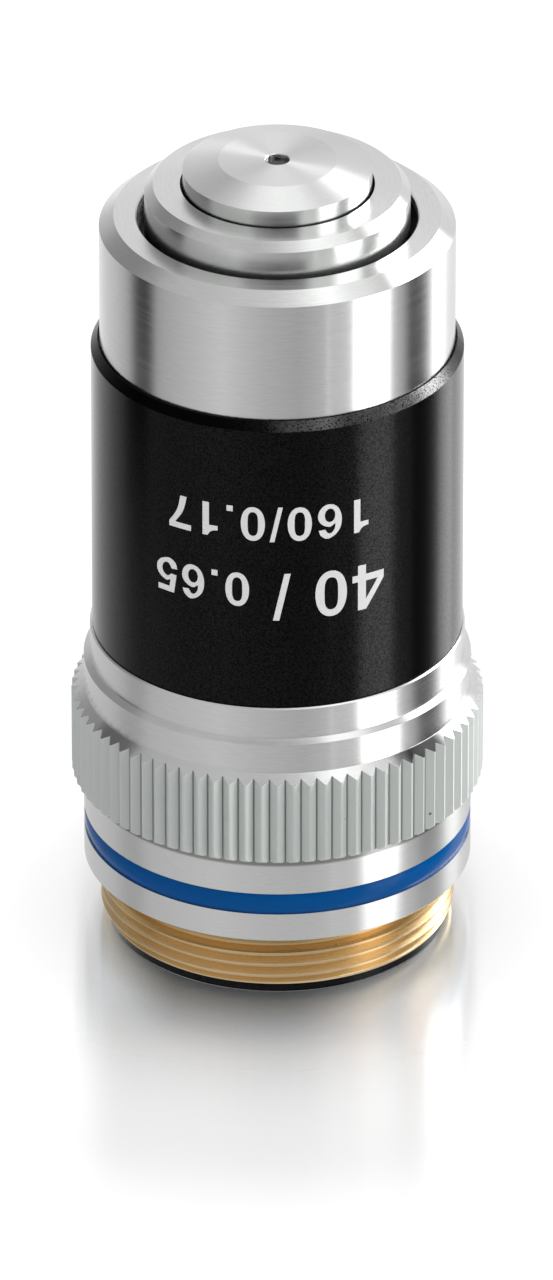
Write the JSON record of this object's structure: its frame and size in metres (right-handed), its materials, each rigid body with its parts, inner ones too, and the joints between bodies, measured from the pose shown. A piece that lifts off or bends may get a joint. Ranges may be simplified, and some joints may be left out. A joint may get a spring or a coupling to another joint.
{
  "type": "microscope objective",
  "caption": "Turned metal microscope objective with a threaded brass mount, knurled collar, black sleeve and a spring-loaded sliding nose that carries the lenses.",
  "frame": {"origin": "on the optical axis, at the rear end face that the objective stands on", "axes": "+Z along the optical axis from the rear end towards the nose; X and Y are alike apart from the guide pin, which is on +X"},
  "size_m": [0.0236, 0.0236, 0.0486],
  "materials": {
    "bright_aluminium": "satin",
    "black_anodised": "satin",
    "mount_brass": "satin",
    "blackened_brass": "matte",
    "blue_enamel": "gloss",
    "spring_steel": "satin",
    "optical_glass": "polished",
    "white_paint": "matte"
  },
  "bodies": {
    "housing": {"rear_ring": "black_anodised", "mount_tube": "mount_brass", "knurled_collar": "bright_aluminium", "colour_ring": "blue_enamel", "barrel_sleeve": "black_anodised", "front_sleeve": "bright_aluminium", "spring_seat": "spring_steel", "return_spring": "spring_steel"},
    "nose": {"nose_barrel": "bright_aluminium", "guide_pin": "spring_steel", "front_cell": "bright_aluminium", "front_lens": "optical_glass", "front_retainer": "blackened_brass", "front_spacer": "blackened_brass", "middle_cell": "blackened_brass", "middle_flint": "optical_glass", "middle_crown": "optical_glass", "middle_retainer": "blackened_brass", "middle_spacer": "blackened_brass", "rear_cell": "blackened_brass", "rear_flint": "optical_glass", "rear_crown": "optical_glass", "rear_retainer": "blackened_brass", "aperture_stop": "black_anodised", "lens_lock_ring": "blackened_brass"}
  },
  "joints": [
    {"name": "nose_slide", "type": "slide", "parent": "housing", "child": "nose", "axis": [0, 0, -1], "range_m": [0, 0.0025], "stiffness_N_per_m": 150, "springref_m": -0.007, "deforming": ["return_spring"]}
  ]
}
